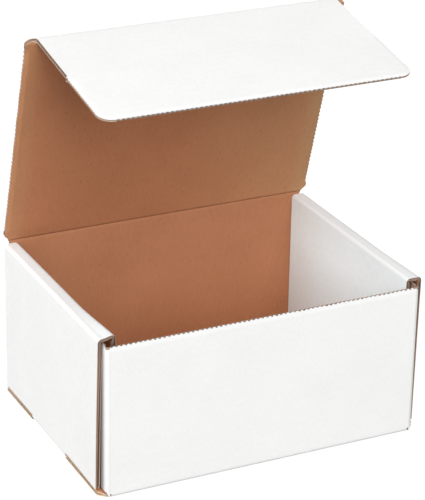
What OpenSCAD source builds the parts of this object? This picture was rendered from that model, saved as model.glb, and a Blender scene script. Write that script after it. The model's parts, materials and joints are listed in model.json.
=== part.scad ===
/* [Box] */
// Distance between the two inner side panels
inside_length = 204; // [120:1:340]
// Distance between the front wall and the back wall
inside_depth = 159; // [100:1:260]
// Height from the bottom board to the top of the rolled side walls
inside_height = 105; // [60:1:160]
// How far the front wall's edge lies below the top of the rolled side walls
front_drop = 4; // [1:0.5:12]

/* [Board] */
// Thickness of the corrugated board
board_t = 3; // [2:0.1:4]
// Thickness of each flat liner
liner_t = 0.4; // [0.2:0.05:0.6]
// Thickness of the fluted medium
medium_t = 0.3; // [0.2:0.05:0.4]
// Distance between two flute crests
flute_pitch = 6.4; // [5:0.1:8]
// Gap between two layers that are folded onto each other
layer_gap = 0.5; // [0.3:0.05:1]
// Outside radius of a folded corner
fold_r = 2.6; // [1:0.1:5]

/* [Side walls] */
// Room beyond the board's thickness in the slot behind the front wall, which takes the tuck flap
tuck_room = 0.6; // [0.4:0.1:2]
// Gap between the rolled side walls and the back wall
back_gap = 0.3; // [0.2:0.1:2]
// How much further back the side wall's front edge lies at the bottom than at the top
side_taper = 1.6; // [0:0.1:4]
// Length of the cut that frees the side wall from the bottom board, at the front
front_cut = 59; // [30:1:70]
// Length of the cut that frees the side wall from the bottom board, at the back
back_cut = 49; // [30:1:60]
// Height of that cut
cut_gap = 0.6; // [0.4:0.1:2]

/* [Dust flaps] */
// Length of the dust flaps on the front wall
front_dust = 70; // [30:1:75]
// Length of the dust flaps on the back wall
back_dust = 60; // [30:1:75]
// Gap below and above a dust flap
dust_gap = 1; // [0.5:0.1:3]

/* [Locking tabs] */
// Length of a tab
tab_length = 32; // [15:1:45]
// Distance from the ends of the inner panel to its tabs
tab_inset = 14; // [8:1:30]
// Gap around a tab in its slot
tab_gap = 0.3; // [0.2:0.05:1]

/* [Lid] */
// Angle by which the lid stands open
lid_open = 73.5; // [20:0.5:150]
// Gap between the closed lid and the rolled side walls
lid_gap = 0.4; // [0.2:0.1:2]
// Chamfer on the lid's corners at its hinge
lid_chamfer = 4.4; // [1:0.2:10]
// Radius of the lid's corners at its front
lid_corner_r = 2.5; // [1:0.1:6]

/* [Tuck flap] */
// Angle by which the tuck flap is folded down from the lid's plane
flap_fold = 84; // [30:0.5:88]
// Gap between the tucked flap and the board in front of it
tuck_gap = 0.3; // [0.2:0.05:1]
// Gap between the end of the tucked flap and the bottom board
flap_end_gap = 1.4; // [0.5:0.1:20]
// Gap between the narrow part of the flap and a dust flap
flap_side_gap = 0.6; // [0.3:0.1:6]
// Distance from the fold to the flap's shoulders
shoulder_at = 50; // [20:1:55]
// How far each shoulder stands out, so that the flap grips
shoulder_step = 1.3; // [0.2:0.1:3]
// Radius of the flap's free corners
flap_corner_r = 10; // [4:0.5:20]

/* [Creases] */
// Thickness left where a crease is crushed
crease_t = 0.6; // [0.4:0.1:1]
// Gap between the two sides of a hinged crease
crease_gap = 0.2; // [0.1:0.05:0.5]
// Slope of the crushed board beside a hinged crease
crease_angle = 35; // [30:1:40]

/* [Hidden] */
$fn = 48;
white_board = [0.95, 0.95, 0.94];
// One overrun serves all cuts.
over = 1;

// Sizes of the tray, outside
roll_w = 3 * board_t + 2 * layer_gap;
out_length = inside_length + 2 * roll_w;
out_depth = inside_depth + 2 * board_t;
roll_top = inside_height + board_t;
front_top = roll_top - front_drop;
dust_top = roll_top - board_t - dust_gap;

// The front and back walls lie between the outer side panels.
wall_length = out_length - 2 * board_t - 2 * layer_gap;
roll_front = -inside_depth / 2 + board_t + tuck_room;
roll_back = inside_depth / 2 - back_gap;
front_cut_end = -out_depth / 2 + front_cut;
back_cut_end = out_depth / 2 - back_cut;

// Hinge of the lid, and hinge of the tuck flap along the lid
hinge_y = out_depth / 2 - board_t / 2;
hinge_z = roll_top + lid_gap + board_t / 2;
lid_depth = inside_depth - tuck_gap;
flap_depth = hinge_z - board_t - flap_end_gap;
flap_half = wall_length / 2 - board_t - flap_side_gap;

// Crushed board beside a hinged crease
crease_start = crease_t / 2 + crease_gap;
crush_len = (board_t - crease_t) / 2 / tan(crease_angle);
crease_zone = crease_start + crush_len;

// The wave of the fluted medium, and the part of each half wave that is open
wave_height = (board_t - 2 * liner_t - medium_t) / 2;
flute_open_share = 0.4;
relief_w_share = 1.2;
relief_h_share = 3;
flute_steps = 5;
relief_w = relief_w_share * board_t;
relief_h = relief_h_share * board_t;
relief_steps = 6;
corner_steps = 6;

// Places a profile drawn in the YZ plane so that it runs along X, centred.
module along_x(length) {
    translate([-length / 2, 0, 0])
        rotate([90, 0, 90])
            linear_extrude(length)
                children();
}

// Places a profile drawn in the XZ plane so that it runs along Y, from y0 to y1.
module along_y(y0, y1) {
    translate([0, y1, 0])
        rotate([90, 0, 0])
            linear_extrude(y1 - y0)
                children();
}

// A rectangle centred on X, standing on Y zero, with its two lower corners rounded
module rounded_base(width, height, r) {
    translate([-width / 2, r])
        square([width, height - r]);
    translate([-width / 2 + r, 0])
        square([width - 2 * r, r]);
    for (side = [-1, 1])
        translate([side * (width / 2 - r), r])
            circle(r);
}

// Lower edge of the medium, at a distance x from a crest
function wave_edge(x) = board_t / 2 - medium_t / 2 + wave_height * cos(360 * x / flute_pitch);

// Open space under one crest, above the liner that lies at the board's lower face
module flute_space() {
    half = flute_open_share * flute_pitch;
    polygon(concat(
        [[half, liner_t], [-half, liner_t]],
        [for (i = [0:flute_steps]) let (x = half * (2 * i / flute_steps - 1)) [x, wave_edge(x)]]
    ));
}

// Spaces on both sides of the medium, along a strip of board from x0 to x1
module flute_spaces(x0, x1) {
    count = floor((x1 - x0) / flute_pitch);
    start = (x0 + x1 - count * flute_pitch) / 2;
    for (i = [0:count - 1])
        translate([start + (i + 1 / 2) * flute_pitch, 0])
            flute_space();
    for (i = [1:count - 1])
        translate([start + i * flute_pitch, board_t])
            mirror([0, 1])
                flute_space();
}

// Section through a hinged panel: flat board that is crushed towards its creases. It reaches
// from the hinge at zero to minus depth, and far_crease says whether a crease ends it there.
module panel_section(depth, far_crease) {
    far = far_crease ? crease_start : 0;
    far_crush = far_crease ? crush_len : 0;
    far_t = far_crease ? crease_t : board_t;
    difference() {
        polygon([
            [-crease_start, -crease_t / 2],
            [-crease_start, crease_t / 2],
            [-crease_zone, board_t / 2],
            [-depth + far + far_crush, board_t / 2],
            [-depth + far, far_t / 2],
            [-depth + far, -far_t / 2],
            [-depth + far + far_crush, -board_t / 2],
            [-crease_zone, -board_t / 2]
        ]);
        translate([0, -board_t / 2])
            flute_spaces(-depth + far + far_crush, -crease_zone);
    }
}

// Section through the front wall, bottom and back wall, in the YZ plane
module trough_section() {
    difference() {
        rounded_base(out_depth, hinge_z - crease_zone, fold_r);
        translate([-inside_depth / 2, board_t])
            square([inside_depth, hinge_z]);
        translate([-out_depth / 2 - over, front_top])
            square([board_t + 2 * over, hinge_z]);
        flute_spaces(-inside_depth / 2, inside_depth / 2);
    }
    translate([hinge_y, hinge_z])
        polygon([
            [-crease_t / 2, -crease_start],
            [crease_t / 2, -crease_start],
            [board_t / 2, -crease_zone],
            [board_t / 2, -crease_zone - over],
            [-board_t / 2, -crease_zone - over],
            [-board_t / 2, -crease_zone]
        ]);
}

// An outline given by the points of its right half, from the front to the back
module symmetric_outline(right) {
    last = len(right) - 1;
    polygon(concat(right, [for (i = [last:-1:0]) [-right[i].x, right[i].y]]));
}

// The bottom board's outline. Its ends are raw where the side walls are cut free from it.
module bottom_outline() {
    half = out_length / 2;
    half_fold = half - fold_r;
    half_wall = wall_length / 2 - relief_w;
    symmetric_outline([
        [half_wall, -out_depth / 2],
        [half, roll_front],
        [half, front_cut_end],
        [half_fold, front_cut_end],
        [half_fold, back_cut_end],
        [half, back_cut_end],
        [half, roll_back],
        [half_wall, out_depth / 2]
    ]);
}

// Front wall, bottom and back wall: one strip of board, folded twice
module trough() {
    intersection() {
        along_x(out_length)
            trough_section();
        union() {
            linear_extrude(board_t)
                bottom_outline();
            translate([-wall_length / 2 + fold_r, -out_depth / 2, 0])
                cube([wall_length - 2 * fold_r, out_depth, hinge_z]);
            translate([-out_length / 2 + lid_chamfer, 0, dust_top + dust_gap])
                cube([out_length - 2 * lid_chamfer, out_depth, hinge_z]);
        }
    }
}

// Curved relief at the lower corners of the front wall and back wall, where three panels meet
module corner_reliefs() {
    half = wall_length / 2;
    curve = [for (i = [0:relief_steps])
        [half - relief_w * (1 - sin(90 * i / relief_steps)), relief_h * (1 - cos(90 * i / relief_steps))]];
    for (turn = [0, 180], side = [0, 1])
        rotate([0, 0, turn])
            mirror([side, 0, 0])
                along_y(-out_depth / 2 - over, -out_depth / 2 + fold_r)
                    polygon(concat(curve, [
                        [out_length, relief_h],
                        [out_length, -over],
                        [half - relief_w, -over]
                    ]));
}

// A wall's two dust flaps with the folds that carry them, in plan, the wall being at -Y. The
// folds reach into the wall by the overrun, so that they are one board at any size.
module dust_section(length) {
    difference() {
        translate([0, -out_depth / 2])
            rounded_base(wall_length, length, fold_r);
        translate([-wall_length / 2 + board_t, -inside_depth / 2])
            square([wall_length - 2 * board_t, length]);
        translate([-wall_length / 2 + fold_r + over, -out_depth / 2 - over])
            square([wall_length - 2 * (fold_r + over), board_t + 2 * over]);
    }
}

module dust_flaps() {
    low = board_t + dust_gap;
    for (end = [[0, front_dust], [180, back_dust]])
        rotate([0, 0, end[0]])
            translate([0, 0, low])
                linear_extrude(dust_top - low)
                    dust_section(end[1]);
}

// Section through one double side wall, in the XZ plane: outer panel, roll and inner panel
module side_section() {
    translate([(out_length - roll_w) / 2, roll_top])
        mirror([0, 1])
            difference() {
                rounded_base(roll_w, roll_top - board_t - tab_gap, fold_r);
                translate([-roll_w / 2 + board_t, board_t])
                    square([roll_w - 2 * board_t, roll_top]);
            }
}

// Section through the fold that joins the bottom board to the outer side panel
module bottom_fold_section() {
    intersection() {
        rounded_base(out_length, 2 * board_t, fold_r);
        union() {
            translate([out_length / 2 - board_t, 0])
                square([board_t, 2 * board_t]);
            translate([out_length / 2 - 2 * board_t, 0])
                square([2 * board_t, board_t]);
        }
    }
}

// Outline of the side wall seen from the side, narrower at its lower front
module side_outline() {
    polygon([
        [roll_front + side_taper, 0],
        [roll_front, roll_top],
        [roll_back, roll_top],
        [roll_back, 0]
    ]);
}

module side_wall() {
    intersection() {
        union() {
            difference() {
                along_y(roll_front, roll_back)
                    side_section();
                translate([0, roll_front - over, 0])
                    cube([out_length, roll_back - roll_front + 2 * over, board_t + cut_gap]);
            }
            along_y(roll_front, roll_back)
                inner_edge_section();
            along_y(front_cut_end, back_cut_end)
                bottom_fold_section();
        }
        along_x(2 * out_length)
            side_outline();
    }
    for (y0 = [roll_front + tab_inset, roll_back - tab_inset - tab_length])
        translate([inside_length / 2, y0, tab_gap])
            cube([board_t, tab_length, 2 * board_t]);
}

// Lowest stretch of the inner panel, which stands on the bottom board
module inner_edge_section() {
    translate([inside_length / 2, board_t + tab_gap])
        square([board_t, cut_gap + board_t]);
}

// Slots in the bottom board that take the locking tabs
module tab_slots() {
    for (y0 = [roll_front + tab_inset, roll_back - tab_inset - tab_length])
        translate([inside_length / 2 - tab_gap, y0 - tab_gap, -over])
            cube([board_t + 2 * tab_gap, tab_length + 2 * tab_gap, board_t + 2 * over]);
}

// The folded tray: one sheet
module tray() {
    color(white_board) {
        difference() {
            union() {
                trough();
                dust_flaps();
            }
            corner_reliefs();
            tab_slots();
            mirror([1, 0, 0])
                tab_slots();
        }
        side_wall();
        mirror([1, 0, 0])
            side_wall();
    }
}

// Points of a rounded corner at x, y, from the front edge round to the right side
function corner_points(x, y, r) = [for (i = [corner_steps:-1:0])
    let (a = 90 * i / corner_steps) [x - r * (1 - cos(a)), y + r * (1 - sin(a))]];

// Outline of the lid, its hinge lying on the X axis
module lid_outline() {
    half = out_length / 2;
    symmetric_outline(concat(
        corner_points(half, -lid_depth, lid_corner_r),
        [[half, -lid_chamfer], [half - lid_chamfer, 0]]
    ));
}

module lid() {
    color(white_board)
        translate([0, hinge_y, hinge_z])
            rotate([-lid_open, 0, 0])
                intersection() {
                    along_x(out_length)
                        panel_section(lid_depth, true);
                    translate([0, 0, -board_t])
                        linear_extrude(2 * board_t)
                            lid_outline();
                }
}

// Outline of the tuck flap, its fold lying on the X axis
module flap_outline() {
    wide = flap_half + shoulder_step;
    symmetric_outline(concat(
        corner_points(wide, -flap_depth, flap_corner_r),
        [[wide, -shoulder_at - shoulder_step], [flap_half, -shoulder_at], [flap_half, 0]]
    ));
}

module tuck_flap() {
    color(white_board)
        translate([0, hinge_y, hinge_z])
            rotate([-lid_open, 0, 0])
                translate([0, -lid_depth, 0])
                    rotate([flap_fold, 0, 0])
                        intersection() {
                            along_x(out_length)
                                panel_section(flap_depth, false);
                            translate([0, 0, -board_t])
                                linear_extrude(2 * board_t)
                                    flap_outline();
                        }
}

tray();
lid();
tuck_flap();
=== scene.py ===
"""Looks of a corrugated mailer box: every board is built from its three papers.

The outer liner is white, the inner liner is kraft, and the fluted medium waves between them.
Lengths are in millimetres until a mesh is made, and meshes are in metres.
"""

import json
import math

import bmesh
import bpy
import numpy as np
from mathutils import Matrix, Vector


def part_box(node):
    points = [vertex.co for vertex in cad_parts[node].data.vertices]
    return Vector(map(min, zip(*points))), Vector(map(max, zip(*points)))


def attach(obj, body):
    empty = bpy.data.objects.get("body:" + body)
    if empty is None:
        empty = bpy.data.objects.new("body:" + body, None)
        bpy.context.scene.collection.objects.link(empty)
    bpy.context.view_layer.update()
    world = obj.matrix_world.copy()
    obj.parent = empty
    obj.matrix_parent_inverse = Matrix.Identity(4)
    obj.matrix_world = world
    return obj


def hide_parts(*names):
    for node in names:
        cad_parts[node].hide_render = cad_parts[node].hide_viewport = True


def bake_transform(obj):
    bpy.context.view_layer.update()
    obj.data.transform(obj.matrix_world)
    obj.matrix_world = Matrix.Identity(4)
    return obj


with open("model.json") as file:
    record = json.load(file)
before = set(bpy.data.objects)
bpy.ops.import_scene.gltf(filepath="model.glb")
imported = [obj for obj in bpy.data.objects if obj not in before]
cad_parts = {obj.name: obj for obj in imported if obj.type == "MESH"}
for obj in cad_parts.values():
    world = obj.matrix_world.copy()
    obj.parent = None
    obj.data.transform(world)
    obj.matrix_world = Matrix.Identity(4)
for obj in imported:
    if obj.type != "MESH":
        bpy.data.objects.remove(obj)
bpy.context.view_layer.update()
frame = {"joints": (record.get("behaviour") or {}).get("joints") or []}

MM = 0.001

# The board, its papers, how finely the medium and the liners follow a flute, and the room between
# two layers of board
BOARD = 3.0
LINER = 0.4
MEDIUM = 0.3
FLUTE = 6.4
FLUTE_STEPS = 8
LINER_STEPS = 4
LAYER_GAP = 0.5
# A fold: the outer radius, and how much and how far along the sheet the board is crushed there
BEND_R = 2.6
BEND_STEPS = 7
BEND_CRUSH = 1.4
BEND_CRUSH_REACH = 3.4
# Room that the mesh's rows keep from a fold and from a stop, and the place of the row beside a fold
BEND_CLEAR = 0.3
BEND_BESIDE = 0.5
STOP_CLEAR = 0.12
EPS = 0.01
# Digits to which two places of a toothed edge count as one point
PLACE_DIGITS = 4
# Steps between the mesh's rows along the side walls and the dust flaps
SIDE_STEP = 7.0
DUST_STEP = 6.0
# Angle in degrees from which an edge is shaded sharp
SHARP_ANGLE = 35.0
# How far the flutes show through the liners
WASHBOARD = 0.013
# The toothed die rule that cuts the open edges: how much the teeth's depths vary and what varies them,
# how wide their cuts are, and from which share of the depth on a cut edge counts as a notch
TOOTH_PITCH = 3.175
TOOTH_DEPTH = 0.65
TOOTH_VARIETY = 0.2
TOOTH_SEED = 7.3
TOOTH_SWELL = 0.9
TOOTH_STEPS = 8
NOTCH_FROM = 0.5
# The board is crushed along the edges that the die cuts across open board: by how much, how far in,
# over what length the crush fades out, and the white side's share of it
CUT_CRUSH = 1.6
CUT_REACH = 3.5
CUT_FADE = 8.0
CUT_WHITE_SHARE = 0.2
CUT_COLUMNS = (0.0, 1.0, 1.8, 2.6, 3.5)

# Creases of the two hinged panels: half their width, and how the white side dips and the kraft swells
CREASE_REACH = 2.2
CREASE_DENT = 0.55
CREASE_RIDGE = 0.2
# The sharp line in the kraft side of a crease, a groove whose faces take a painted shade: its depth, and
# its place and width as shares of it
CREASE_LINE = 0.35
CREASE_LINE_AT_SHARE = 0.56
CREASE_LINE_W_SHARE = 0.06
CREASE_STEPS = 24

# Room behind the front wall for the tuck flap, before the back wall, and the side panels' slant
TUCK_ROOM = 0.6
BACK_GAP = 0.3
SIDE_TAPER = 1.6
# The cuts that free the side walls' two ends from the bottom: their lengths, and the gap that shows
FRONT_CUT = 59.0
BACK_CUT = 49.0
CUT_GAP = 0.6
# The dust flaps' lengths, and the gap over and under them
FRONT_DUST = 70.0
BACK_DUST = 60.0
DUST_GAP = 1.0
# The locking tabs, and the gap round them in their slots
TAB_LENGTH = 32.0
TAB_INSET = 14.0
TAB_GAP = 0.3
# How far the rolls lie below the closed lid, and the front wall below the rolls
LID_GAP = 0.4
FRONT_DROP = 4.0
# The arches at the feet of the dust flaps' folds, and their least height above the floor
RELIEF_W = 3.6
RELIEF_H = 9.0
RELIEF_LOW = 0.35
# Room that the mesh's columns keep: over the arches, beside the side walls' front edges, from a column
# that is fixed, and from the sheet's edge beside a slot
DUST_COLUMN_ROOM = 0.5
SIDE_COLUMN_ROOM = 0.8
COLUMN_CLEAR = 0.15
SLOT_COLUMN_ROOM = 0.2

# The open tray stands a little wider at its front, where nothing holds it: how much further out
# the sheet lies there, and how far the outer and the inner side panels bow out where they are cut
# free, on the right side and on the left side
SPLAY = 1.0
SIDE_BOW = {1: (1.3, 0.4), -1: (0.4, -1.5)}
# How far the roll leans over to the outside there, and how much its inner fold stands higher
SIDE_LEAN = {1: 0.0, -1: -1.2}
ROLL_TILT = {1: 0.0, -1: 0.7}

# Outlines of the lid and the tuck flap, whose end stays off the bottom in the closed box
LID_CHAMFER = 4.4
LID_CORNER_R = 2.5
SHOULDER_AT = 50.0
SHOULDER_STEP = 1.3
FLAP_CORNER_R = 10.0
FLAP_END_GAP = 1.4
CORNER_STEPS = 10

# Camera of the photograph, whose picture is 425 pixels wide and 500 high. The place and the clips are
# in metres, and the angles in degrees
PHOTO_HEIGHT = 500
SENSOR = 36.0
FOCAL_PX = 2284.2
CAM_AT = (-0.60241, -1.21354, 0.71423)
CAM_AZIMUTH = -26.460
CAM_ELEVATION = 23.820
CAM_ROLL = 1.142
CLIP_START = 0.05
CLIP_END = 20.0


def joint(name):
    """The frame's entry for a joint."""
    return next(j for j in frame["joints"] if j["name"] == name)


# Sizes taken from the frame
tray_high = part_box("tray")[1] / MM
flap_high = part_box("tuck_flap")[1] / MM
hinge = Vector(joint("lid_hinge")["pos_m"]) / MM
fold = Vector(joint("flap_fold")["pos_m"]) / MM
half_length = tray_high.x
half_depth = tray_high.y
lid_depth = (fold - hinge).length
lid_heading = math.degrees(math.atan2(fold.z - hinge.z, fold.y - hinge.y))
flap_fold = -joint("flap_fold")["range_deg"][0]
flap_heading = lid_heading + flap_fold

# Places worked out from them
roll_w = 3 * BOARD + 2 * LAYER_GAP
roll_top = hinge.z - LID_GAP - BOARD / 2
front_top = roll_top - FRONT_DROP
dust_top = roll_top - BOARD - DUST_GAP
dust_low = BOARD + DUST_GAP
half_wall = half_length - BOARD - LAYER_GAP
half_inside = half_length - roll_w
roll_front = -half_depth + 2 * BOARD + TUCK_ROOM
roll_back = half_depth - BOARD - BACK_GAP
front_cut_end = -half_depth + FRONT_CUT
back_cut_end = half_depth - BACK_CUT
flap_wide = flap_high.x
flap_half = flap_wide - SHOULDER_STEP
flap_depth = hinge.z - BOARD - FLAP_END_GAP
tab_starts = (roll_front + TAB_INSET, roll_back - TAB_INSET - TAB_LENGTH)


# Materials

# Noises of the papers: marks per metre, detail and roughness
WHITE_CLOUDS = (28.0, 4.0, 0.55)
WHITE_FIBRES = (900.0, 4.0, 0.7)
KRAFT_CLOUDS = (22.0, 4.0, 0.55)
KRAFT_FIBRES = (700.0, 5.0, 0.7)
KRAFT_MARKS = (700.0, 2.0, 0.5)
KRAFT_GRAIN = (1500.0, 2.0, 0.6)
# Scales of the axes that draw the fibres and the marks out
WHITE_STRETCH = (1.0, 0.35, 0.35)
KRAFT_STRETCH = (1.0, 0.3, 0.3)
MARK_STRETCH = (1.0, 0.45, 0.45)
# Noise values between which a paper goes from its dark tone to its light one
CLOUD_FROM = 0.3
CLOUD_TO = 0.7
# Ramps from a noise value to a gain of the colour
WHITE_SPECKLES = ((0.3, (0.955, 0.952, 0.945)), (0.6, (1.0, 1.0, 1.0)))
KRAFT_STREAKS = ((0.25, (0.93, 0.92, 0.91)), (0.75, (1.05, 1.05, 1.05)))
KRAFT_MARKED = ((0.62, (1.0, 1.0, 1.0)), (0.74, (0.86, 0.81, 0.79)))
# Ramp from the grain to where the flecks lie, and how strong they are
KRAFT_FLECKS = ((0.66, (0.0, 0.0, 0.0)), (0.74, (1.0, 1.0, 1.0)))
FLECK_SHARE = 0.35
# Surfaces: roughness that the fibres add, least roughness, specular level, strength of the bump, and
# its height in metres
WHITE_SURFACE = (0.18, 0.52, 0.3, 0.25, 0.00012)
KRAFT_SURFACE = (0.15, 0.66, 0.22, 0.35, 0.00015)


def new_material(name):
    """A material, its nodes, its shader and the coordinates of the piece."""
    material = bpy.data.materials.new(name)
    material.use_nodes = True
    tree = material.node_tree
    shader = tree.nodes["Principled BSDF"]
    coords = tree.nodes.new("ShaderNodeTexCoord")
    return material, tree, shader, coords.outputs["Object"]


def scaled(tree, vector, scale):
    """The coordinates times a scale for each axis."""
    node = tree.nodes.new("ShaderNodeMapping")
    node.inputs["Scale"].default_value = scale
    tree.links.new(vector, node.inputs["Vector"])
    return node.outputs["Vector"]


def noise(tree, vector, scale, detail, rough):
    """A noise between 0 and 1."""
    node = tree.nodes.new("ShaderNodeTexNoise")
    node.inputs["Scale"].default_value = scale
    node.inputs["Detail"].default_value = detail
    node.inputs["Roughness"].default_value = rough
    tree.links.new(vector, node.inputs["Vector"])
    return node.outputs["Fac"]


def ramp(tree, value, stops):
    """A colour ramp through (position, colour) stops."""
    node = tree.nodes.new("ShaderNodeValToRGB")
    bar = node.color_ramp
    for place, _ in stops[2:]:
        bar.elements.new(place)
    for element, (place, colour) in zip(bar.elements, stops):
        element.position = place
        element.color = (*colour, 1)
    tree.links.new(value, node.inputs["Fac"])
    return node.outputs["Color"]


def mixed(tree, factor, first, second, blend="MIX"):
    """Two colours mixed, each one a node's output or a plain value."""
    node = tree.nodes.new("ShaderNodeMix")
    node.data_type = "RGBA"
    node.blend_type = blend
    for socket, source in ((0, factor), (6, first), (7, second)):
        if isinstance(source, bpy.types.NodeSocket):
            tree.links.new(source, node.inputs[socket])
        else:
            node.inputs[socket].default_value = source
    return node.outputs[2]


def math_node(tree, operation, first, second=0.0, third=0.0):
    """A calculation on values, each one a node's output or a plain number."""
    node = tree.nodes.new("ShaderNodeMath")
    node.operation = operation
    for socket, source in enumerate((first, second, third)):
        if isinstance(source, bpy.types.NodeSocket):
            tree.links.new(source, node.inputs[socket])
        else:
            node.inputs[socket].default_value = source
    return node.outputs[0]


def spread(tree, value, first, last):
    """A soft step from 0 at first to 1 at last, which may lie on either side of first."""
    node = tree.nodes.new("ShaderNodeMapRange")
    node.interpolation_type = "SMOOTHSTEP"
    node.inputs["From Min"].default_value = min(first, last)
    node.inputs["From Max"].default_value = max(first, last)
    tree.links.new(value, node.inputs["Value"])
    if first < last:
        return node.outputs["Result"]
    return math_node(tree, "SUBTRACT", 1.0, node.outputs["Result"])


def bump(tree, shader, height, strength, distance):
    """Let a noise stand out of the surface."""
    node = tree.nodes.new("ShaderNodeBump")
    node.inputs["Strength"].default_value = strength
    node.inputs["Distance"].default_value = distance
    tree.links.new(height, node.inputs["Height"])
    tree.links.new(node.outputs["Normal"], shader.inputs["Normal"])


def tinted(tree, coords, colour, tints):
    """The colour with tints over it, which are fixed to the box and paint light and shade onto it.

    Each tint is (axis, whether it lies on both sides, place where it ends, place where it is full,
    gain), with the places in metres.
    """
    for axis, both, none, full, gain in tints:
        split = tree.nodes.new("ShaderNodeSeparateXYZ")
        tree.links.new(coords, split.inputs[0])
        place = split.outputs[axis]
        if both:
            place = math_node(tree, "ABSOLUTE", place)
        share = spread(tree, place, none, full)
        colour = mixed(tree, share, colour, mixed(tree, 1.0, colour, gain, "MULTIPLY"))
    return colour


def surface(tree, shader, colour, fibres, finish):
    """Give a paper its colour, and the roughness, shine and bump of its finish."""
    fibre_rough, least_rough, specular, strength, height = finish
    tree.links.new(colour, shader.inputs["Base Color"])
    rough = math_node(tree, "MULTIPLY_ADD", fibres, fibre_rough, least_rough)
    tree.links.new(rough, shader.inputs["Roughness"])
    shader.inputs["Specular IOR Level"].default_value = specular
    bump(tree, shader, fibres, strength, height)


def white_paper(name, dark, light, tints=()):
    """White paper with cloudy tone and fine fibres."""
    material, tree, shader, coords = new_material(name)
    clouds = noise(tree, coords, *WHITE_CLOUDS)
    fibres = noise(tree, scaled(tree, coords, WHITE_STRETCH), *WHITE_FIBRES)
    cloudy = ramp(tree, clouds, ((CLOUD_FROM, dark), (CLOUD_TO, light)))
    speckled = ramp(tree, fibres, WHITE_SPECKLES)
    colour = mixed(tree, 1.0, cloudy, speckled, "MULTIPLY")
    surface(tree, shader, tinted(tree, coords, colour, tints), fibres, WHITE_SURFACE)
    return material


def kraft(name, dark, light, fleck, tints=()):
    """Brown paper with cloudy tone, long fibres, darker marks and fine flecks."""
    material, tree, shader, coords = new_material(name)
    clouds = noise(tree, coords, *KRAFT_CLOUDS)
    fibres = noise(tree, scaled(tree, coords, KRAFT_STRETCH), *KRAFT_FIBRES)
    marks = noise(tree, scaled(tree, coords, MARK_STRETCH), *KRAFT_MARKS)
    grain = noise(tree, coords, *KRAFT_GRAIN)
    colour = ramp(tree, clouds, ((CLOUD_FROM, dark), (CLOUD_TO, light)))
    for gains in (ramp(tree, fibres, KRAFT_STREAKS), ramp(tree, marks, KRAFT_MARKED)):
        colour = mixed(tree, 1.0, colour, gains, "MULTIPLY")
    flecked = math_node(tree, "MULTIPLY", ramp(tree, grain, KRAFT_FLECKS), FLECK_SHARE)
    colour = mixed(tree, flecked, colour, (*fleck, 1))
    surface(tree, shader, tinted(tree, coords, colour, tints), fibres, KRAFT_SURFACE)
    return material


# Painted shade that dims the rolled white paper along its bent fold, and painted light that makes it cooler
# and a little brighter deep in the box, against the pink bounce off the kraft
ROLLED_LIGHT_AND_SHADE_TINTS = (
    ("Z", False, 0.1079, 0.1068, (0.87, 0.905, 0.91, 1.0)),
    ("Z", False, 0.1062, 0.1052, (1.11, 1.165, 1.18, 1.0)),
)
# Painted shade on the folds of the front dust flaps, darker where they go in behind the side walls
RECESS_SHADE_TINTS = (("Y", False, -0.0797, -0.0765, (0.42, 0.4, 0.41, 1.0)),)
# Painted shade on the side walls' cut edges: darker near the top, at the cut ends of the rolls
ROLL_END_SHADE_TINTS = (("Z", False, 0.088, 0.103, (0.5, 0.49, 0.5, 1.0)),)
# Painted light: the kraft is a little paler low in the box, against the front wall's shade there
DEPTH_LIGHT_TINTS = (("Z", False, 0.085, 0.03, (1.16, 1.15, 1.13, 1.0)),)
# Painted light on the lid's inside: lighter along its sides, and paler towards its right
LID_LIGHT_TINTS = (
    ("X", True, 0.0955, 0.1065, (1.0, 1.12, 1.14, 1.0)),
    ("X", False, -0.02, 0.11, (1.1, 1.3, 1.32, 1.0)),
)
# The dark and the light tone of a paper, and the colour of its flecks
KRAFT = ((0.414, 0.175, 0.086), (0.453, 0.199, 0.099), (0.62, 0.38, 0.245))
EDGE_KRAFT = ((0.48, 0.36, 0.28), (0.6, 0.46, 0.37), (0.7, 0.58, 0.48))
LID_KRAFT = ((0.424, 0.174, 0.083), (0.462, 0.193, 0.093), (0.62, 0.37, 0.235))
# The rolled white's tones are lighter and bluer than the white paper's: painted light against the pink
# bounce off the kraft
ROLLED_PAINTED_LIGHT_TONES = ((0.875, 0.905, 0.915), (0.895, 0.925, 0.935))
# The recess white's tones are darker than the white paper's: painted shade in the recess
RECESS_SHADE_TONES = ((0.755, 0.755, 0.752), (0.785, 0.785, 0.782))

WHITE = white_paper("white_paper", (0.838, 0.838, 0.834), (0.865, 0.865, 0.862))
ROLLED_WHITE_PAINTED_LIGHT_AND_SHADE = white_paper("white_paper_rolled_painted_light_and_shade", *ROLLED_PAINTED_LIGHT_TONES, ROLLED_LIGHT_AND_SHADE_TINTS)
RECESS_SHADED_WHITE = white_paper("white_paper_recess_painted_shade", *RECESS_SHADE_TONES, RECESS_SHADE_TINTS)
# Darker, greyer kraft on the dust flaps' kraft side: painted shade in the hollows of the rolls
RECESS_SHADED_KRAFT = kraft("kraft_recess_painted_shade", (0.2, 0.13, 0.1), (0.24, 0.16, 0.125), (0.35, 0.26, 0.2))
# Near-black kraft on the faces of a crease's line: painted shade in the groove
CREASE_LINE_SHADED_KRAFT = kraft("kraft_crease_line_painted_shade", (0.16, 0.062, 0.03), (0.2, 0.08, 0.038), (0.35, 0.18, 0.1))
# Darker, greyer kraft on the inner liner's toothed edge between the notches: painted shade along the cut
RIM_SHADED_KRAFT = kraft("kraft_rim_painted_shade", (0.22, 0.18, 0.155), (0.28, 0.23, 0.2), (0.4, 0.33, 0.28))
# Kraft of the inside, with painted light low in the box
INSIDE_KRAFT_PAINTED_LIGHT = kraft("kraft_inside_painted_light", *KRAFT, tints=DEPTH_LIGHT_TINTS)
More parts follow.
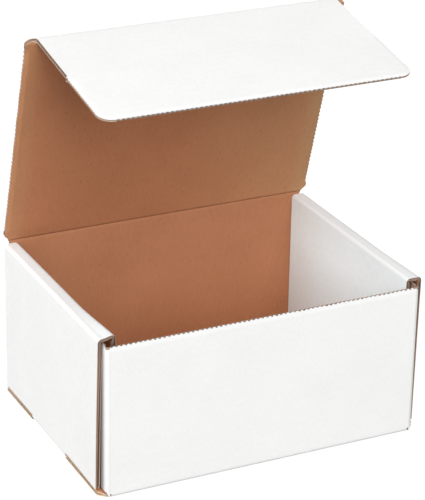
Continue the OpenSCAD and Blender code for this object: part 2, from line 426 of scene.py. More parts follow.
# Kraft of the lid's inside, with painted light along its sides and towards its right
LID_INSIDE_PAINTED_LIGHT = kraft("kraft_lid_inside_painted_light", *LID_KRAFT, tints=LID_LIGHT_TINTS)
EDGE = kraft("kraft_cut_edge", *EDGE_KRAFT)
ROLL_EDGE_SHADED_AT_TOP = kraft("kraft_roll_edge_painted_shade", *EDGE_KRAFT, tints=ROLL_END_SHADE_TINTS)
PALE_EDGE = kraft("kraft_pale_edge", (0.66, 0.51, 0.37), (0.75, 0.6, 0.45), (0.8, 0.7, 0.58))
PALE_MEDIUM = kraft("kraft_pale_medium", (0.52, 0.39, 0.28), (0.62, 0.48, 0.36), (0.7, 0.58, 0.47))
# Near-black kraft in the deep notches of the toothed edges: painted shade in them
NOTCH_SHADED_KRAFT = kraft("kraft_notch_painted_shade", (0.05, 0.04, 0.034), (0.07, 0.056, 0.048), (0.12, 0.09, 0.07))
MEDIUM_PAPER = kraft("kraft_medium", (0.33, 0.225, 0.165), (0.44, 0.31, 0.23), (0.55, 0.42, 0.33))


# Sheets of board, each built along the route of its white face: a and b are the places on the two axes
# of the route's plane, s is the length along the route, and c is the place across the sheet


class Route:
    """The white face of a sheet in section: straight runs, and bends to the left."""

    def __init__(self, start, heading, legs):
        """legs are ("run", length) or ("bend", angle), and a bend has the outer radius BEND_R."""
        self.legs = []
        self.bends = []
        a, b = start
        s = 0.0
        for kind, amount in legs:
            turn = math.radians(heading)
            self.legs.append((s, a, b, heading, kind))
            if kind == "run":
                a += amount * math.cos(turn)
                b += amount * math.sin(turn)
                s += amount
            else:
                centre_a = a - BEND_R * math.sin(turn)
                centre_b = b + BEND_R * math.cos(turn)
                after = math.radians(heading + amount)
                a = centre_a + BEND_R * math.sin(after)
                b = centre_b - BEND_R * math.cos(after)
                length = BEND_R * math.radians(amount)
                self.bends.append((s, s + length))
                heading += amount
                s += length
        self.length = s

    def at(self, s):
        """Place on the white face at length s, and the direction there as an angle in degrees."""
        first = self.legs[0]
        start, a, b, heading, kind = next(leg for leg in reversed(self.legs) if leg[0] <= s or leg is first)
        turn = math.radians(heading)
        along = s - start
        if kind == "run":
            return a + along * math.cos(turn), b + along * math.sin(turn), heading
        after = turn + along / BEND_R
        centre_a = a - BEND_R * math.sin(turn)
        centre_b = b + BEND_R * math.cos(turn)
        a = centre_a + BEND_R * math.sin(after)
        b = centre_b - BEND_R * math.cos(after)
        return a, b, math.degrees(after)

    def thickness(self, s):
        """The board's thickness, which is crushed at each bend."""
        crushed = 0.0
        for begin, end in self.bends:
            crushed += BEND_CRUSH * math.exp(-(((s - (begin + end) / 2) / BEND_CRUSH_REACH) ** 2))
        return BOARD - crushed

    def samples(self, step, stops=()):
        """Lengths along the route: regular ones, the stops, and more of them in each bend."""
        count = max(1, round(self.length / step))
        found = [self.length * i / count for i in range(count + 1)]
        for begin, end in self.bends:
            found = [s for s in found if not begin - BEND_CLEAR < s < end + BEND_CLEAR]
            found += [begin + (end - begin) * i / BEND_STEPS for i in range(BEND_STEPS + 1)]
            found += [begin - BEND_BESIDE, end + BEND_BESIDE]
        stops = [s for s in stops if 0 <= s <= self.length]
        found = [s for s in found if 0 <= s <= self.length]
        found = [s for s in found if all(abs(s - stop) > STOP_CLEAR for stop in stops)]
        found = sorted(set(found + list(stops)))
        return [s for s, after in zip(found, found[1:] + [math.inf]) if after - s > EPS / 2]


def smooth(t):
    """A soft step from 0 to 1."""
    t = np.clip(t, 0.0, 1.0)
    return t * t * (3 - 2 * t)


def tooth(place):
    """How deep the toothed rule cuts at a place, each tooth a little different."""
    turn = place / TOOTH_PITCH
    variety = TOOTH_VARIETY * math.sin(TOOTH_SEED * math.floor(turn + 0.5))
    depth = TOOTH_DEPTH * (1 - TOOTH_VARIETY + variety)
    return depth * float(smooth(0.5 + TOOTH_SWELL * math.cos(2 * math.pi * turn)))


# The sides of a paper layer: its two faces, its plain cut edges, and where the toothed rule cut it
# deep and where it didn't
NEAR_FACE, FAR_FACE, CUT_EDGE, NOTCH_EDGE, RIM_EDGE = range(5)


def layer_faces(grid, near, far, keep, teeth):
    """Vertices and (face, side) pairs of a closed layer. grid holds a, b, heading and c arrays.

    near and far are depths below the white face. keep says which cells exist. teeth is -1 for a
    toothed first row, 1 for a toothed last row, and 0 for none.
    """
    a, b, heading, c = grid
    rows, cols = c.shape
    inward_a = -np.sin(heading)
    inward_b = np.cos(heading)
    vertices = []
    index = {}

    def point(side, i, j, across=None, ahead=0.0):
        key = (side, i, j) if across is None else (side, i, round(across, PLACE_DIGITS))
        if key not in index:
            depth = (near, far)[side][i, j]
            pa = a[i] + inward_a[i] * depth + math.cos(heading[i]) * ahead
            pb = b[i] + inward_b[i] * depth + math.sin(heading[i]) * ahead
            index[key] = len(vertices)
            vertices.append((pa, pb, c[i, j] if across is None else across))
        return index[key]

    toothed_row = {-1: 0, 1: rows - 1, 0: None}[teeth]

    def edge_side(row, first, second):
        """The side that an edge between two points of a row belongs to."""
        if row != toothed_row:
            return CUT_EDGE
        middle = (vertices[first][2] + vertices[second][2]) / 2
        return NOTCH_EDGE if tooth(middle) > NOTCH_FROM * TOOTH_DEPTH else RIM_EDGE

    def row_points(side, i, j):
        """The points of row i from column j to column j + 1."""
        if i != toothed_row:
            return [point(side, i, j), point(side, i, j + 1)]
        low, high = c[i, j], c[i, j + 1]
        count = max(2, round(abs(high - low) / TOOTH_PITCH * TOOTH_STEPS))
        places = [low + (high - low) * k / count for k in range(count + 1)]
        return [point(side, i, j, x, -teeth * tooth(x)) for x in places]

    faces = []
    for i in range(rows - 1):
        for j in range(cols - 1):
            if not keep[i, j]:
                continue
            for side in (NEAR_FACE, FAR_FACE):
                ring = row_points(side, i, j) + row_points(side, i + 1, j)[::-1]
                faces.append((ring if side == FAR_FACE else ring[::-1], side))
            for other, row in ((i - 1, i), (i + 1, i + 1)):
                if not (0 <= other < rows - 1) or not keep[other, j]:
                    top = row_points(NEAR_FACE, row, j)
                    low = row_points(FAR_FACE, row, j)
                    for k in range(len(top) - 1):
                        side = edge_side(row, top[k], top[k + 1])
                        faces.append(([top[k], top[k + 1], low[k + 1], low[k]], side))
            for other, col in ((j - 1, 0), (j + 1, -1)):
                if not (0 <= other < cols - 1) or not keep[i, other]:
                    top = [row_points(NEAR_FACE, row, j)[col] for row in (i, i + 1)]
                    low = [row_points(FAR_FACE, row, j)[col] for row in (i, i + 1)]
                    faces.append(([top[0], top[1], low[1], low[0]], CUT_EDGE))
    return vertices, faces


# Where a route's two axes and the places across the sheet go, for a route drawn in each plane
PLANES = {
    "yz": lambda v: (v[2], v[0], v[1]),
    "xz": lambda v: (v[0], v[2], v[1]),
    "xy": lambda v: v,
}


def splayed(x, y, z):
    """A place of the tray, moved out as the front of the open tray stands."""
    reach = (roll_back - y) / (roll_back - roll_front)
    return x * (1 + SPLAY / half_length * max(0.0, min(1.0, reach)) ** 2), y, z


def make_piece(name, parts, plane, mirror=(1, 1), move=None):
    """A mesh of several layers. Each part is (vertices, faces, the materials of its sides)."""
    bm = bmesh.new()
    used = []
    for vertices, faces, materials in parts:
        made = []
        for v in vertices:
            x, y, z = PLANES[plane](v)
            x, y = x * mirror[0], y * mirror[1]
            if move:
                x, y, z = move(x, y, z)
            made.append(bm.verts.new((x * MM, y * MM, z * MM)))
        for ring, side in faces:
            material = materials[side]
            if material not in used:
                used.append(material)
            if len(set(ring)) < 3:
                continue
            face = bm.faces.new([made[k] for k in ring])
            face.material_index = used.index(material)
            face.smooth = True
    bmesh.ops.recalc_face_normals(bm, faces=bm.faces)
    mesh = bpy.data.meshes.new(name)
    bm.to_mesh(mesh)
    bm.free()
    for material in used:
        mesh.materials.append(material)
    mesh.set_sharp_from_angle(angle=math.radians(SHARP_ANGLE))
    piece = bpy.data.objects.new(name, mesh)
    bpy.context.scene.collection.objects.link(piece)
    return piece


def repaper(piece, old, new, chosen=lambda place: True):
    """Give another paper to the faces of a piece that have the old one and whose middles are chosen."""
    mesh = piece.data
    mesh.materials.append(new)
    found = mesh.materials.find(old.name)
    for polygon in mesh.polygons:
        if polygon.material_index == found and chosen(polygon.center):
            polygon.material_index = len(mesh.materials) - 1


def everywhere(s, c):
    """For a sheet with no part cut away."""
    return True


def grid_of(route, lengths, across):
    """Arrays of places for the lengths, and of places across the sheet for each length."""
    rows = [route.at(s) for s in lengths]
    a = np.array([row[0] for row in rows])
    b = np.array([row[1] for row in rows])
    heading = np.radians([row[2] for row in rows])
    c = np.array([across(s) for s in lengths], float)
    return a, b, heading, c


def board_layers(
    route, lengths, across, kept, wave_across, fine=None, teeth=0, squeeze=None, inside=INSIDE_KRAFT_PAINTED_LIGHT
):
    """The three papers of one folded sheet.

    across(s) gives the places of the columns, kept(s, c) says whether the sheet exists there, and
    wave_across is true where the flutes run along the route. fine is the medium's own across.
    squeeze(s, c) says how far the board is crushed there, from 0 to 1. inside is the inner face's
    paper.
    """
    parts = []
    for paper in ("outer", "medium", "inner"):
        columns = fine if paper == "medium" and fine else across
        grid = grid_of(route, lengths, columns)
        c = grid[3]
        along = np.array(lengths)[:, None] + 0 * c
        white = 0 * c
        brown = np.array([route.thickness(s) for s in lengths])[:, None] + 0 * c
        if squeeze:
            crushed = CUT_CRUSH * squeeze(along, c)
            white = white + CUT_WHITE_SHARE * crushed
            brown = brown - (1 - CUT_WHITE_SHARE) * crushed
        phase = c if wave_across else along
        wave = np.cos(2 * math.pi * phase / FLUTE)
        swing = (brown - white - 2 * LINER - MEDIUM) / 2
        # The notches of toothed edges, and the inner liner's rims between them, take painted shade
        if paper == "outer":
            near = white + WASHBOARD * (1 + wave)
            far = near + LINER
            sides = (WHITE, EDGE, EDGE, NOTCH_SHADED_KRAFT, WHITE)
        elif paper == "inner":
            far = brown - WASHBOARD * (1 - wave)
            near = far - LINER
            sides = (EDGE, inside, EDGE, NOTCH_SHADED_KRAFT, RIM_SHADED_KRAFT)
        else:
            middle = (white + brown) / 2 + swing * wave
            near = middle - MEDIUM / 2
            far = middle + MEDIUM / 2
            sides = (MEDIUM_PAPER,) * 3
        keep = np.zeros((len(lengths) - 1, c.shape[1] - 1), bool)
        for i in range(keep.shape[0]):
            s = (lengths[i] + lengths[i + 1]) / 2
            for j in range(keep.shape[1]):
                keep[i, j] = kept(s, (c[i, j] + c[i, j + 1] + c[i + 1, j] + c[i + 1, j + 1]) / 4)
        vertices, faces = layer_faces(grid, near, far, keep, 0 if paper == "medium" else teeth)
        parts.append((vertices, faces, sides))
    return parts


# Front wall, bottom and back wall

wall_run = front_top - BEND_R
bottom_run = 2 * (half_depth - BEND_R)
bend_length = BEND_R * math.pi / 2
back_run = hinge.z - CREASE_REACH - BEND_R
trough = Route(
    (-half_depth, front_top),
    -90.0,
    [("run", wall_run), ("bend", 90.0), ("run", bottom_run), ("bend", 90.0), ("run", back_run)],
)
bottom_start = wall_run + bend_length
back_start = bottom_start + bottom_run + bend_length


def trough_length_at_y(y):
    """Length along the trough's route to a place on the bottom."""
    return bottom_start + y + half_depth - BEND_R


def trough_length_at_z(z):
    """Length along the trough's route to a height on the back wall."""
    return back_start + z - BEND_R


def relief_width(z):
    """Half width of the front and back walls at a height near their lower corners."""
    share = min(1.0, max(0.0, 1 - z / RELIEF_H))
    return half_wall - RELIEF_W * (1 - math.sqrt(1 - share * share))


def trough_half(s):
    """Half width of the sheet along its route."""
    y, z, _ = trough.at(s)
    if z > BEND_R:
        if y > 0 and z > dust_top + DUST_GAP:
            return half_length - LID_CHAMFER
        return min(half_wall - BEND_R, relief_width(z))
    corner = half_wall - RELIEF_W
    if y > half_depth - BEND_R:
        return corner
    limit = -roll_front if y < 0 else roll_back
    if abs(y) > limit:
        return corner + (half_length - corner) * (half_depth - abs(y)) / (half_depth - limit)
    if front_cut_end < y < back_cut_end:
        return half_length - BEND_R
    return half_length


def trough_across(s):
    """Columns of the sheet, which follow its edges and the slots of the tabs."""
    half = trough_half(s)
    inner = half_inside - TAB_GAP
    outer = half_inside + BOARD + TAB_GAP
    third = inner / 3
    edge = min(outer, half - SLOT_COLUMN_ROOM)
    return [-half, -edge, -inner, -third, third, inner, edge, half]


def trough_kept(s, c):
    """Whether the sheet exists at a place, which it doesn't in the slots."""
    y, z, _ = trough.at(s)
    if z > EPS or abs(y) > half_depth - BEND_R:
        return True
    in_slot = any(start - TAB_GAP < y < start + TAB_LENGTH + TAB_GAP for start in tab_starts)
    return not (in_slot and half_inside - TAB_GAP < abs(c) < half_inside + BOARD + TAB_GAP)


def make_trough():
    """The front wall, the bottom and the back wall, with paler edges along the bottom's cuts."""
    stops = [trough_length_at_y(y) for y in (roll_front, roll_back)]
    for y in (front_cut_end, back_cut_end):
        stops += [trough_length_at_y(y) - EPS, trough_length_at_y(y) + EPS]
    for start in tab_starts:
        stops += [trough_length_at_y(start - TAB_GAP), trough_length_at_y(start + TAB_LENGTH + TAB_GAP)]
    step_z = trough_length_at_z(dust_top + DUST_GAP)
    stops += [step_z - EPS, step_z + EPS]
    lengths = trough.samples(FLUTE / FLUTE_STEPS, stops)
    parts = board_layers(
        trough,
        lengths,
        trough_across,
        trough_kept,
        wave_across=False,
        teeth=-1,
        squeeze=lambda s, c: 1 - smooth(s / CUT_REACH),
    )
    piece = make_piece("front_bottom_back", parts, "yz", move=splayed)
    for old, new in ((EDGE, PALE_EDGE), (MEDIUM_PAPER, PALE_MEDIUM)):
        repaper(piece, old, new, lambda place: place.z < BOARD * MM)
    return piece


# Double side walls

side_route = Route(
    (half_length - BEND_R, 0.0),
    0.0,
    [
        ("bend", 90.0),
        ("run", roll_top - 2 * BEND_R),
        ("bend", 90.0),
        ("run", roll_w - 2 * BEND_R),
        ("bend", 90.0),
        ("run", roll_top - BEND_R - TAB_GAP),
    ],
)
outer_start = bend_length
roll_start = outer_start + roll_top - 2 * BEND_R
inner_start = roll_start + 2 * bend_length + roll_w - 2 * BEND_R


def side_columns(step):
    """Places along the side wall, which follow its slanted front edge."""
    fixed = [front_cut_end, back_cut_end]
    for start in tab_starts:
        fixed += [start, start + TAB_LENGTH]
    first = roll_front + SIDE_TAPER + SIDE_COLUMN_ROOM
    count = round((roll_back - first) / step)
    places = [first + (roll_back - first) * i / count for i in range(count + 1)]
    places = [y for y in places if all(abs(y - place) > COLUMN_CLEAR for place in fixed)]
    places = sorted(places + fixed)

    def across(s):
        z = side_route.at(s)[1]
        return [roll_front + SIDE_TAPER * (1 - z / roll_top)] + places

    return across


def side_kept(s, c):
    """Whether the side wall exists at a place, which it doesn't under its cuts and beside its tabs."""
    z = side_route.at(s)[1]
    if s < inner_start and z < BOARD + CUT_GAP:
        return front_cut_end < c < back_cut_end
    if s > inner_start and z < BOARD + TAB_GAP:
        return any(start < c < start + TAB_LENGTH for start in tab_starts)
    return True


def make_side(name, sign):
    """A double side wall, rolled in from the bottom's edge. sign is 1 on the right."""
    cut = outer_start + BOARD + CUT_GAP - BEND_R
    tab = inner_start + roll_top - BEND_R - BOARD - TAB_GAP
    lengths = side_route.samples(SIDE_STEP, [cut, tab])
    coarse = side_columns(FLUTE / LINER_STEPS)
    fine = side_columns(FLUTE / FLUTE_STEPS)
    parts = board_layers(side_route, lengths, coarse, side_kept, wave_across=True, fine=fine)
    outer_bow, inner_bow = SIDE_BOW[sign]

    def bowed(x, y, z):
        """A place of the side wall, bowed out along the cut that frees it from the bottom."""
        free = float(smooth((front_cut_end - y) / FRONT_CUT))
        share = min(1.0, max(0.0, (abs(x) - half_inside - BOARD) / (roll_w - 2 * BOARD)))
        bow = inner_bow + (outer_bow - inner_bow) * share + SIDE_LEAN[sign] * (z / roll_top) ** 2
        lift = ROLL_TILT[sign] * (1 - 2 * share) * z / roll_top
        return splayed(x + sign * bow * free, y, z + lift * free)

    piece = make_piece(name, parts, "xz", (sign, 1), bowed)
    # The roll tops and inner panels take the rolled white, with its painted light and shade
    repaper(piece, WHITE, ROLLED_WHITE_PAINTED_LIGHT_AND_SHADE, lambda place: abs(place.x) < (half_length - BEND_R) * MM)
    # The side walls' cut edges take painted shade near the top
    repaper(piece, EDGE, ROLL_EDGE_SHADED_AT_TOP)
    return piece


# Dust flaps, with the folds that carry them


def make_dust(name, length, mirror):
    """A dust flap with its fold. mirror has the signs of x and y, and the front flap has y's as 1."""
    route = Route((half_wall - BEND_R, -half_depth), 0.0, [("bend", 90.0), ("run", length - BEND_R)])
    fold_end = route.bends[0][1]

    def low(s):
        """Height of the flap's lower edge, with the arch at its fold."""
        if s > fold_end:
            return dust_low
        x = route.at(s)[0]
        share = 1 - (half_wall - x) / RELIEF_W
        relief = RELIEF_H * (1 - math.sqrt(max(0.0, 1 - share * share)))
        return min(dust_low, max(relief, RELIEF_LOW))

    def columns(step):
        first = RELIEF_H + DUST_COLUMN_ROOM
        last = dust_top - CUT_REACH
        count = round((last - first) / step)
        places = [first + (last - first) * i / count for i in range(count)]
        places += [dust_top - gap for gap in reversed(CUT_COLUMNS)]

        def across(s):
            return [low(s)] + places

        return across

    lengths = route.samples(DUST_STEP, [fold_end + BOARD])
    parts = board_layers(
        route,
        lengths,
        columns(FLUTE),
        everywhere,
        wave_across=True,
        fine=columns(FLUTE / FLUTE_STEPS),
        squeeze=lambda s, c: 1 - smooth((dust_top - c) / CUT_REACH),
        # The dust flaps' kraft side takes painted shade
        inside=RECESS_SHADED_KRAFT,
    )
    piece = make_piece(name, parts, "xy", mirror, splayed)
    # The front dust flaps' white takes painted shade where it goes in behind the side walls
    if mirror[1] > 0:
        repaper(piece, WHITE, RECESS_SHADED_WHITE)
    return piece


# Lid and tuck flap


def face_start(pivot, heading, distance):
    """A place on a hinged panel's white face at a distance from its hinge."""
    turn = math.radians(heading)
    y = pivot.y + distance * math.cos(turn) + BOARD / 2 * math.sin(turn)
    z = pivot.z + distance * math.sin(turn) - BOARD / 2 * math.cos(turn)
    return y, z


def rounded(half, corner_r, left):
    """Half width of a panel within its round corners, where left is the way to its free edge."""
    reach = corner_r - max(left, 0.0)
    return half - corner_r + math.sqrt(corner_r**2 - reach**2)


def lid_half(distance):
    """Half width of the lid at a distance from its hinge."""
    if distance < LID_CHAMFER:
        return half_length - LID_CHAMFER + distance
    left = lid_depth - distance
    if left < LID_CORNER_R:
        return rounded(half_length, LID_CORNER_R, left)
    return half_length


def flap_half_width(distance):
    """Half width of the tuck flap at a distance from its fold."""
    left = flap_depth - distance
    if left < FLAP_CORNER_R:
        return rounded(flap_wide, FLAP_CORNER_R, left)
    over = min(max(distance - SHOULDER_AT, 0.0), SHOULDER_STEP)
    return flap_half + over


def panel_lengths(route, depth, corner_r, extra):
    """Samples of a flat panel, with more of them round its free corners."""
    stops = [s for s in extra if 0 < s < route.length]
    for i in range(CORNER_STEPS + 1):
        place = depth - CREASE_REACH - corner_r * (1 - math.sin(math.radians(90 * i / CORNER_STEPS)))
        if 0 < place < route.length:
            stops.append(place)
    return route.samples(FLUTE / FLUTE_STEPS, stops)


def make_panel(name, pivot, heading, depth, end, half_at, corner_r, extra, cut_from, teeth, inside):
    """A flat hinged panel between its creases.

    end is what a crease takes at its far side, half_at(distance) gives its half width, and extra has
    lengths that need a row. Its sides are cut with teeth beyond cut_from.
    """
    start = face_start(pivot, heading, CREASE_REACH)
    route = Route(start, heading, [("run", depth - end - CREASE_REACH)])

    def across(s):
        half = half_at(s + CREASE_REACH)
        outer = [half - gap for gap in CUT_COLUMNS]
        if cut_from < s < route.length - corner_r:
            outer[0] -= tooth(s)
        return [-x for x in outer] + [-half / 3, half / 3] + outer[::-1]

    halves = np.vectorize(lambda s: half_at(s + CREASE_REACH))

    def squeeze(s, c):
        side_crush = 1 - smooth((halves(s) - np.abs(c)) / CUT_REACH)
        side_crush = side_crush * smooth((s - cut_from) / CUT_REACH)
        if end > 0:
            return side_crush * smooth((route.length - s) / CUT_FADE)
        return np.maximum(side_crush, 1 - smooth((route.length - s) / CUT_REACH))

    lengths = panel_lengths(route, depth, corner_r, extra)
    parts = board_layers(
        route,
        lengths,
        across,
        everywhere,
        wave_across=False,
        teeth=teeth,
        squeeze=squeeze,
        inside=inside,
    )
    return make_piece(name, parts, "yz")


# Creases, each paper a strip that turns from one panel to the next

# Sides of a crease's paper that follow its cut edges: the line in it, and its far face beyond the line
ON_LINE, BEYOND_LINE = CUT_EDGE + 1, CUT_EDGE + 2


def crease_face(pivot, heading, bend, height_at):
    """Places of one face of a paper across a crease, and the two ends of its blend.

    height_at(t) is the face's height above the board's middle, on the white side. The places are
    those that a flat crease takes when each point turns by its share of the bend.
    """
    half = math.radians(bend) / 2
    middle = math.radians(heading) + half
    reach = CREASE_REACH * math.cos(half) + height_at(0.0) * math.sin(half)
    places = []
    for i in range(CREASE_STEPS + 1):
        t = i / CREASE_STEPS
        turn = (smooth(t) - 0.5) * 2 * half
        ahead = reach * (2 * t - 1)
        height = height_at(t)
        along = (ahead - height * math.sin(turn)) / math.cos(turn)
        up = height * math.cos(turn) - along * math.sin(turn)
        places.append((ahead, up))
    turned = []
    for ahead, up in places:
        y = pivot.y + ahead * math.cos(middle) + up * math.sin(middle)
        z = pivot.z + ahead * math.sin(middle) - up * math.cos(middle)
        turned.append((y, z))
    start = (0, (pivot.y - reach * math.cos(middle)) * MM, (pivot.z - reach * math.sin(middle)) * MM)
    end = (0, (pivot.y + reach * math.cos(middle)) * MM, (pivot.z + reach * math.sin(middle)) * MM)
    return turned, start, end


def make_crease(name, pivot, heading, bend, halves, near, far):
    """Three strips of paper that cross a hinge.

    halves are the half widths at the two ends. near and far are the inside's paper on the two sides
    of the crease's line.
    """
    half_t = BOARD / 2
    # The faces of the line in the kraft side take painted shade
    inner_sides = (EDGE, near, EDGE, CREASE_LINE_SHADED_KRAFT, far)
    # For each paper the heights of its two faces, its sides' materials, its dip and its line's depth
    papers = {
        "outer": (half_t, half_t - LINER, (WHITE, EDGE, EDGE, EDGE, EDGE), CREASE_DENT, 0.0),
        "medium": (MEDIUM / 2, -MEDIUM / 2, (MEDIUM_PAPER,) * 5, 0.0, 0.0),
        "inner": (-half_t + LINER, -half_t, inner_sides, -CREASE_RIDGE, CREASE_LINE),
    }
    for paper, (high, low, sides, dent, line) in papers.items():
        rows = []
        for height in (high, low):

            def profile(t, height=height, dent=dent, line=line):
                away = (t - CREASE_LINE_AT_SHARE) / CREASE_LINE_W_SHARE
                return height - dent * math.sin(math.pi * t) ** 2 + line * math.exp(-away * away)

            rows.append(crease_face(pivot, heading, bend, profile))
        count = CREASE_STEPS + 1
        vertices = []
        for turned, _, _ in rows:
            for i, (y, z) in enumerate(turned):
                half = halves[0] + (halves[1] - halves[0]) * i / CREASE_STEPS
                vertices += [(y, z, -half), (y, z, half)]

        def at(face, i, side_of, count=count):
            return (face * count + i) * 2 + side_of

        faces = []
        for i in range(CREASE_STEPS):
            past_line = (i + 0.5) / CREASE_STEPS - CREASE_LINE_AT_SHARE
            inner = BEYOND_LINE if past_line > 0 else FAR_FACE
            if abs(past_line) < CREASE_LINE_W_SHARE:
                inner = ON_LINE
            for face, side in ((0, NEAR_FACE), (1, inner)):
                ring = [at(face, i, 0), at(face, i, 1), at(face, i + 1, 1), at(face, i + 1, 0)]
                faces.append((ring, side))
            for end_of in (0, 1):
                ring = [at(0, i, end_of), at(0, i + 1, end_of), at(1, i + 1, end_of), at(1, i, end_of)]
                faces.append((ring, CUT_EDGE))
        for i in (0, CREASE_STEPS):
            faces.append(([at(0, i, 0), at(0, i, 1), at(1, i, 1), at(1, i, 0)], CUT_EDGE))
        piece = make_piece(f"{name}_{paper}", [(vertices, faces, sides)], "yz")
        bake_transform(piece)


def dress_tray():
    """The sheets that ride on the tray."""
    pieces = [make_trough()]
    for name, sign in (("right_side_wall", 1), ("left_side_wall", -1)):
        pieces.append(make_side(name, sign))
    for name, length, mirror in (
        ("front_right_dust_flap", FRONT_DUST, (1, 1)),
        ("front_left_dust_flap", FRONT_DUST, (-1, 1)),
        ("back_right_dust_flap", BACK_DUST, (1, -1)),
        ("back_left_dust_flap", BACK_DUST, (-1, -1)),
    ):
        pieces.append(make_dust(name, length, mirror))
    for piece in pieces:
        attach(piece, "tray")
    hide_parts("tray")


def dress_lid():
    """The lid's panel, and its crease on the back wall."""
    panel = make_panel(
        "lid_panel",
        hinge,
        lid_heading,
        depth=lid_depth,
        end=CREASE_REACH,
        half_at=lid_half,
        corner_r=LID_CORNER_R,
        extra=[LID_CHAMFER - CREASE_REACH],
        cut_from=LID_CHAMFER,
        teeth=0,
        inside=LID_INSIDE_PAINTED_LIGHT,
    )
    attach(panel, "lid")
    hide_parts("lid")
    low = half_length - LID_CHAMFER
    make_crease(
        "lid_crease",
        hinge,
        heading=90.0,
        bend=lid_heading - 90.0,
        halves=(low, low + CREASE_REACH),
        near=INSIDE_KRAFT_PAINTED_LIGHT,
        far=LID_INSIDE_PAINTED_LIGHT,
    )


def dress_flap():
    """The tuck flap's panel, and its crease on the lid."""
    panel = make_panel(
        "flap_panel",
        fold,
        flap_heading,
        depth=flap_depth,
        end=0.0,
        half_at=flap_half_width,
        corner_r=FLAP_CORNER_R,
        extra=[SHOULDER_AT - CREASE_REACH, SHOULDER_AT + SHOULDER_STEP - CREASE_REACH],
        cut_from=SHOULDER_AT,
        teeth=1,
        inside=INSIDE_KRAFT_PAINTED_LIGHT,
    )
    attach(panel, "tuck_flap")
    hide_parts("tuck_flap")
    make_crease(
        "flap_crease",
        fold,
        heading=lid_heading,
        bend=flap_fold,
        halves=(lid_half(lid_depth - CREASE_REACH), flap_half),
        near=LID_INSIDE_PAINTED_LIGHT,
        far=INSIDE_KRAFT_PAINTED_LIGHT,
    )


# Floor, light and camera

FLOOR_SIZE = 8.0
# What the camera sees of the floor: its own light, and the grey that takes the shadow
FLOOR_GLOW = 0.9
FLOOR_SHADE = 0.2
# What the box gets from the floor and from the sky
FLOOR_BOUNCE = 0.4
DOME = 0.46
# Each lamp: azimuth and elevation in degrees, distance and size in metres, power in watts
LAMPS = {
    "front_softbox": (-6.0, 30.0, 4.0, 2.4, 113.0),
    "left_softbox": (-84.0, 23.0, 4.0, 2.4, 110.0),
}


def make_floor():
    """A pale floor that shows white to the camera, with the box's shadow on it."""
    half = FLOOR_SIZE / 2
    mesh = bpy.data.meshes.new("floor")
    corners = [(-half, -half, 0), (half, -half, 0), (half, half, 0), (-half, half, 0)]
    mesh.from_pydata(corners, [], [(0, 1, 2, 3)])
    floor = bpy.data.objects.new("floor", mesh)
    bpy.context.scene.collection.objects.link(floor)
    material = bpy.data.materials.new("pale_floor")
    material.use_nodes = True
    tree = material.node_tree
    tree.nodes.clear()
    out = tree.nodes.new("ShaderNodeOutputMaterial")
    path = tree.nodes.new("ShaderNodeLightPath")
    glow = tree.nodes.new("ShaderNodeEmission")
    glow.inputs["Color"].default_value = (1, 1, 1, 1)
    glow.inputs["Strength"].default_value = FLOOR_GLOW
    shade = tree.nodes.new("ShaderNodeBsdfDiffuse")
    shade.inputs["Color"].default_value = (FLOOR_SHADE, FLOOR_SHADE, FLOOR_SHADE, 1)
    plain = tree.nodes.new("ShaderNodeBsdfDiffuse")
    plain.inputs["Color"].default_value = (FLOOR_BOUNCE, FLOOR_BOUNCE, FLOOR_BOUNCE, 1)
    seen = tree.nodes.new("ShaderNodeAddShader")
    mix = tree.nodes.new("ShaderNodeMixShader")
    tree.links.new(glow.outputs[0], seen.inputs[0])
    tree.links.new(shade.outputs[0], seen.inputs[1])
    tree.links.new(path.outputs["Is Camera Ray"], mix.inputs[0])
    tree.links.new(plain.outputs[0], mix.inputs[1])
    tree.links.new(seen.outputs[0], mix.inputs[2])
    tree.links.new(mix.outputs[0], out.inputs["Surface"])
    mesh.materials.append(material)


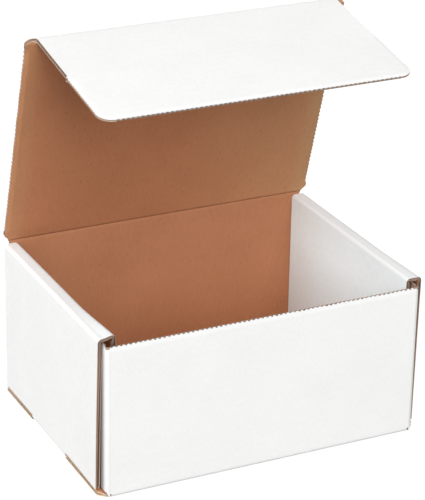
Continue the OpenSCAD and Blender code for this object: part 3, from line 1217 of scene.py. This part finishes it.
def make_world():
    """Even light from all round, and a white background."""
    world = bpy.data.worlds.new("studio")
    bpy.context.scene.world = world
    world.use_nodes = True
    tree = world.node_tree
    tree.nodes.clear()
    out = tree.nodes.new("ShaderNodeOutputWorld")
    path = tree.nodes.new("ShaderNodeLightPath")
    seen = tree.nodes.new("ShaderNodeBackground")
    seen.inputs["Strength"].default_value = 1.0
    seen.inputs["Color"].default_value = (1, 1, 1, 1)
    dome = tree.nodes.new("ShaderNodeBackground")
    dome.inputs["Strength"].default_value = DOME
    dome.inputs["Color"].default_value = (1, 1, 1, 1)
    rays = path.outputs["Is Camera Ray"]
    for ray in ("Is Glossy Ray", "Is Transmission Ray"):
        rays = math_node(tree, "MAXIMUM", rays, path.outputs[ray])
    mix = tree.nodes.new("ShaderNodeMixShader")
    tree.links.new(rays, mix.inputs[0])
    tree.links.new(dome.outputs[0], mix.inputs[1])
    tree.links.new(seen.outputs[0], mix.inputs[2])
    tree.links.new(mix.outputs[0], out.inputs["Surface"])


def make_lamp(name, azimuth, elevation, distance, size, power):
    """A soft square lamp that points at the middle of the box's top."""
    data = bpy.data.lights.new(name, "AREA")
    data.shape = "SQUARE"
    data.size = size
    data.energy = power
    lamp = bpy.data.objects.new(name, data)
    bpy.context.scene.collection.objects.link(lamp)
    turn = math.radians(azimuth)
    lift = math.radians(elevation)
    target = Vector((0, 0, hinge.z * MM))
    away = Vector((math.sin(turn) * math.cos(lift), -math.cos(turn) * math.cos(lift), math.sin(lift)))
    lamp.location = target + away * distance
    lamp.rotation_mode = "QUATERNION"
    lamp.rotation_quaternion = (target - lamp.location).to_track_quat("-Z", "Y")


def make_camera():
    """The photograph's camera."""
    data = bpy.data.cameras.new("camera")
    data.sensor_width = SENSOR
    data.lens = FOCAL_PX * SENSOR / PHOTO_HEIGHT
    camera = bpy.data.objects.new("camera", data)
    bpy.context.scene.collection.objects.link(camera)
    turn, lift, roll = (math.radians(v) for v in (CAM_AZIMUTH, CAM_ELEVATION, CAM_ROLL))
    look = (
        Matrix.Rotation(turn, 4, "Z")
        @ Matrix.Rotation(math.pi / 2 - lift, 4, "X")
        @ Matrix.Rotation(roll, 4, "Z")
    )
    camera.matrix_world = Matrix.Translation(CAM_AT) @ look
    data.clip_start = CLIP_START
    data.clip_end = CLIP_END
    bpy.context.scene.camera = camera


make_camera()
dress_tray()
dress_lid()
dress_flap()
make_floor()
make_world()
for lamp_name, facts in LAMPS.items():
    make_lamp(lamp_name, *facts)
bpy.context.scene.view_settings.view_transform = "Standard"
